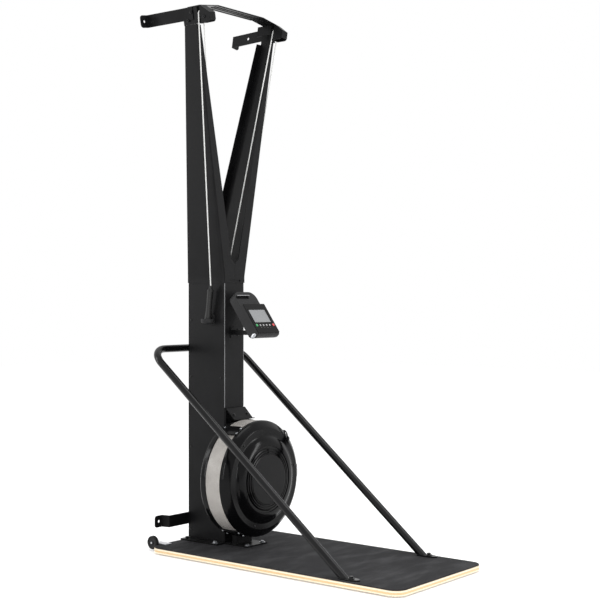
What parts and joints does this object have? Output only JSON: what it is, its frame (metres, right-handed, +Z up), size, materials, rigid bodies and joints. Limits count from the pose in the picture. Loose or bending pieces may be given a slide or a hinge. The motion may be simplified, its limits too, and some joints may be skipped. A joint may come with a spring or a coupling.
{
  "type": "ski trainer",
  "caption": "Standing cord-driven ski trainer with splayed tall arms, pull handles, a caged fan flywheel, a tilting console and a plywood platform with a support bar.",
  "frame": {"origin": "on the floor, under the middle of the outer size across and front to back", "axes": "+Z up, -Y towards the user's side, with the wall behind the machine at +Y, and X across the machine"},
  "size_m": [0.5984, 1.256, 2.1831],
  "materials": {
    "plywood": "clear lacquer on birch plywood",
    "deck_surface": "matt textured anti-slip sheet",
    "black_rubber": "matt",
    "powder_coat": "satin black powder coat",
    "zinc": "bright zinc plate",
    "steel": "machined",
    "cord": "braided off-white cord",
    "nylon": "fine moulded texture",
    "gloss_cover": "glossy black moulding",
    "mesh": "light grey perforated sheet",
    "screen": "grey liquid-crystal panel under a clear window",
    "key_green": "satin",
    "key_red": "satin",
    "key_white": "satin"
  },
  "bodies": {
    "frame": {"arm_left": "powder_coat", "arm_right": "powder_coat", "axle_bearing": "steel", "base_board": "plywood", "base_runner_front": "black_rubber", "base_runner_rear": "black_rubber", "board_cover": "deck_surface", "column_base_plate": "powder_coat", "column_rear_cover": "powder_coat", "column_shell": "powder_coat", "console_bracket": "powder_coat", "drive_cord_left": "cord", "drive_cord_right": "cord", "fan_cap": "gloss_cover", "fan_front_cover": "gloss_cover", "fan_lower_bracket": "powder_coat", "fan_mesh": "mesh", "fan_rear_cover": "gloss_cover", "fan_upper_bracket": "powder_coat", "guide_bracket": "zinc", "handle_holder_left": "nylon", "handle_holder_right": "nylon", "lower_wall_bracket": "powder_coat", "pulley_axle_left": "steel", "pulley_axle_right": "steel", "pulley_head_left": "powder_coat", "pulley_head_right": "powder_coat", "support_bar": "powder_coat", "support_foot_left": "zinc", "support_foot_right": "zinc", "top_brace": "powder_coat", "wall_strap_left": "powder_coat", "wall_strap_right": "powder_coat", "wheel_bracket_left": "zinc", "wheel_bracket_right": "zinc"},
    "flywheel": {"flywheel": "steel", "fan_axle": "steel"},
    "damper": {"damper_ring": "gloss_cover"},
    "console": {"console_housing": "nylon", "console_panel": "gloss_cover", "console_screen": "screen", "phone_rest": "nylon"},
    "handle_left": {"handle_left": "black_rubber", "handle_cord_left": "cord"},
    "pulley_left": {"pulley_left": "nylon"},
    "guide_pulley_left": {"guide_pulley_left": "nylon"},
    "cord_drum_left": {"cord_drum_left": "nylon"},
    "transport_wheel_left": {"transport_wheel_left": "black_rubber"},
    "handle_right": {"handle_right": "black_rubber", "handle_cord_right": "cord"},
    "pulley_right": {"pulley_right": "nylon"},
    "guide_pulley_right": {"guide_pulley_right": "nylon"},
    "cord_drum_right": {"cord_drum_right": "nylon"},
    "transport_wheel_right": {"transport_wheel_right": "black_rubber"},
    "button_1": {"button_1": "key_white"},
    "button_2": {"button_2": "key_white"},
    "button_3": {"button_3": "key_white"},
    "button_4": {"button_4": "key_white"},
    "button_start": {"button_start": "key_green"},
    "button_stop": {"button_stop": "key_red"}
  },
  "joints": [
    {"name": "flywheel_spin", "type": "hinge", "parent": "frame", "child": "flywheel", "pos_m": [0, 0.282, 0.299], "axis": [0, 1, 0], "continuous": true},
    {"name": "damper_turn", "type": "hinge", "parent": "frame", "child": "damper", "pos_m": [0, 0.2394, 0.299], "axis": [0, 1, 0], "range_deg": [-30, 20]},
    {"name": "handle_left_pull", "type": "slide", "parent": "frame", "child": "handle_left", "axis": [-0.1541, -0.0825, 0.9846], "range_m": [0, 0.95], "deforming": ["handle_cord_left"]},
    {"name": "pulley_left_turn", "type": "hinge", "parent": "frame", "child": "pulley_left", "pos_m": [-0.22625, 0.343, 2.13189], "axis": [0, 1, 0], "range_deg": [0, 3720]},
    {"name": "guide_pulley_left_turn", "type": "hinge", "parent": "frame", "child": "guide_pulley_left", "pos_m": [-0.0327, 0.443, 1.05], "axis": [0, 1, 0], "range_deg": [0, 3720]},
    {"name": "cord_drum_left_turn", "type": "hinge", "parent": "frame", "child": "cord_drum_left", "pos_m": [0, 0.462, 0.299], "axis": [0, 1, 0], "range_deg": [0, 1980]},
    {"name": "transport_wheel_left_spin", "type": "hinge", "parent": "frame", "child": "transport_wheel_left", "pos_m": [-0.234, 0.601, 0.033], "axis": [1, 0, 0], "continuous": true},
    {"name": "handle_right_pull", "type": "slide", "parent": "frame", "child": "handle_right", "axis": [0.1541, -0.0825, 0.9846], "range_m": [0, 0.95], "deforming": ["handle_cord_right"]},
    {"name": "pulley_right_turn", "type": "hinge", "parent": "frame", "child": "pulley_right", "pos_m": [0.22625, 0.343, 2.13189], "axis": [0, 1, 0], "range_deg": [-3720, 0]},
    {"name": "guide_pulley_right_turn", "type": "hinge", "parent": "frame", "child": "guide_pulley_right", "pos_m": [0.0327, 0.443, 1.05], "axis": [0, 1, 0], "range_deg": [-3720, 0]},
    {"name": "cord_drum_right_turn", "type": "hinge", "parent": "frame", "child": "cord_drum_right", "pos_m": [0, 0.422, 0.299], "axis": [0, 1, 0], "range_deg": [0, 1980]},
    {"name": "transport_wheel_right_spin", "type": "hinge", "parent": "frame", "child": "transport_wheel_right", "pos_m": [0.234, 0.601, 0.033], "axis": [1, 0, 0], "continuous": true},
    {"name": "console_tilt", "type": "hinge", "parent": "frame", "child": "console", "pos_m": [0, 0.26394, 0.88105], "axis": [1, 0, 0], "range_deg": [-8, 20]},
    {"name": "button_1_press", "type": "slide", "parent": "console", "child": "button_1", "axis": [0, 0.809, -0.5878], "range_m": [0, 0.001], "stiffness_N_per_m": 600},
    {"name": "button_2_press", "type": "slide", "parent": "console", "child": "button_2", "axis": [0, 0.809, -0.5878], "range_m": [0, 0.001], "stiffness_N_per_m": 600},
    {"name": "button_3_press", "type": "slide", "parent": "console", "child": "button_3", "axis": [0, 0.809, -0.5878], "range_m": [0, 0.001], "stiffness_N_per_m": 600},
    {"name": "button_4_press", "type": "slide", "parent": "console", "child": "button_4", "axis": [0, 0.809, -0.5878], "range_m": [0, 0.001], "stiffness_N_per_m": 600},
    {"name": "button_start_press", "type": "slide", "parent": "console", "child": "button_start", "axis": [0, 0.809, -0.5878], "range_m": [0, 0.001], "stiffness_N_per_m": 600},
    {"name": "button_stop_press", "type": "slide", "parent": "console", "child": "button_stop", "axis": [0, 0.809, -0.5878], "range_m": [0, 0.001], "stiffness_N_per_m": 600}
  ],
  "couplings": [
    {"joint": "pulley_left_turn", "follows": "handle_left_pull", "rad_per_m": 68.027},
    {"joint": "guide_pulley_left_turn", "follows": "handle_left_pull", "rad_per_m": 68.027},
    {"joint": "cord_drum_left_turn", "follows": "handle_left_pull", "rad_per_m": 36.101},
    {"joint": "pulley_right_turn", "follows": "handle_right_pull", "rad_per_m": -68.027},
    {"joint": "guide_pulley_right_turn", "follows": "handle_right_pull", "rad_per_m": -68.027},
    {"joint": "cord_drum_right_turn", "follows": "handle_right_pull", "rad_per_m": 36.101}
  ]
}
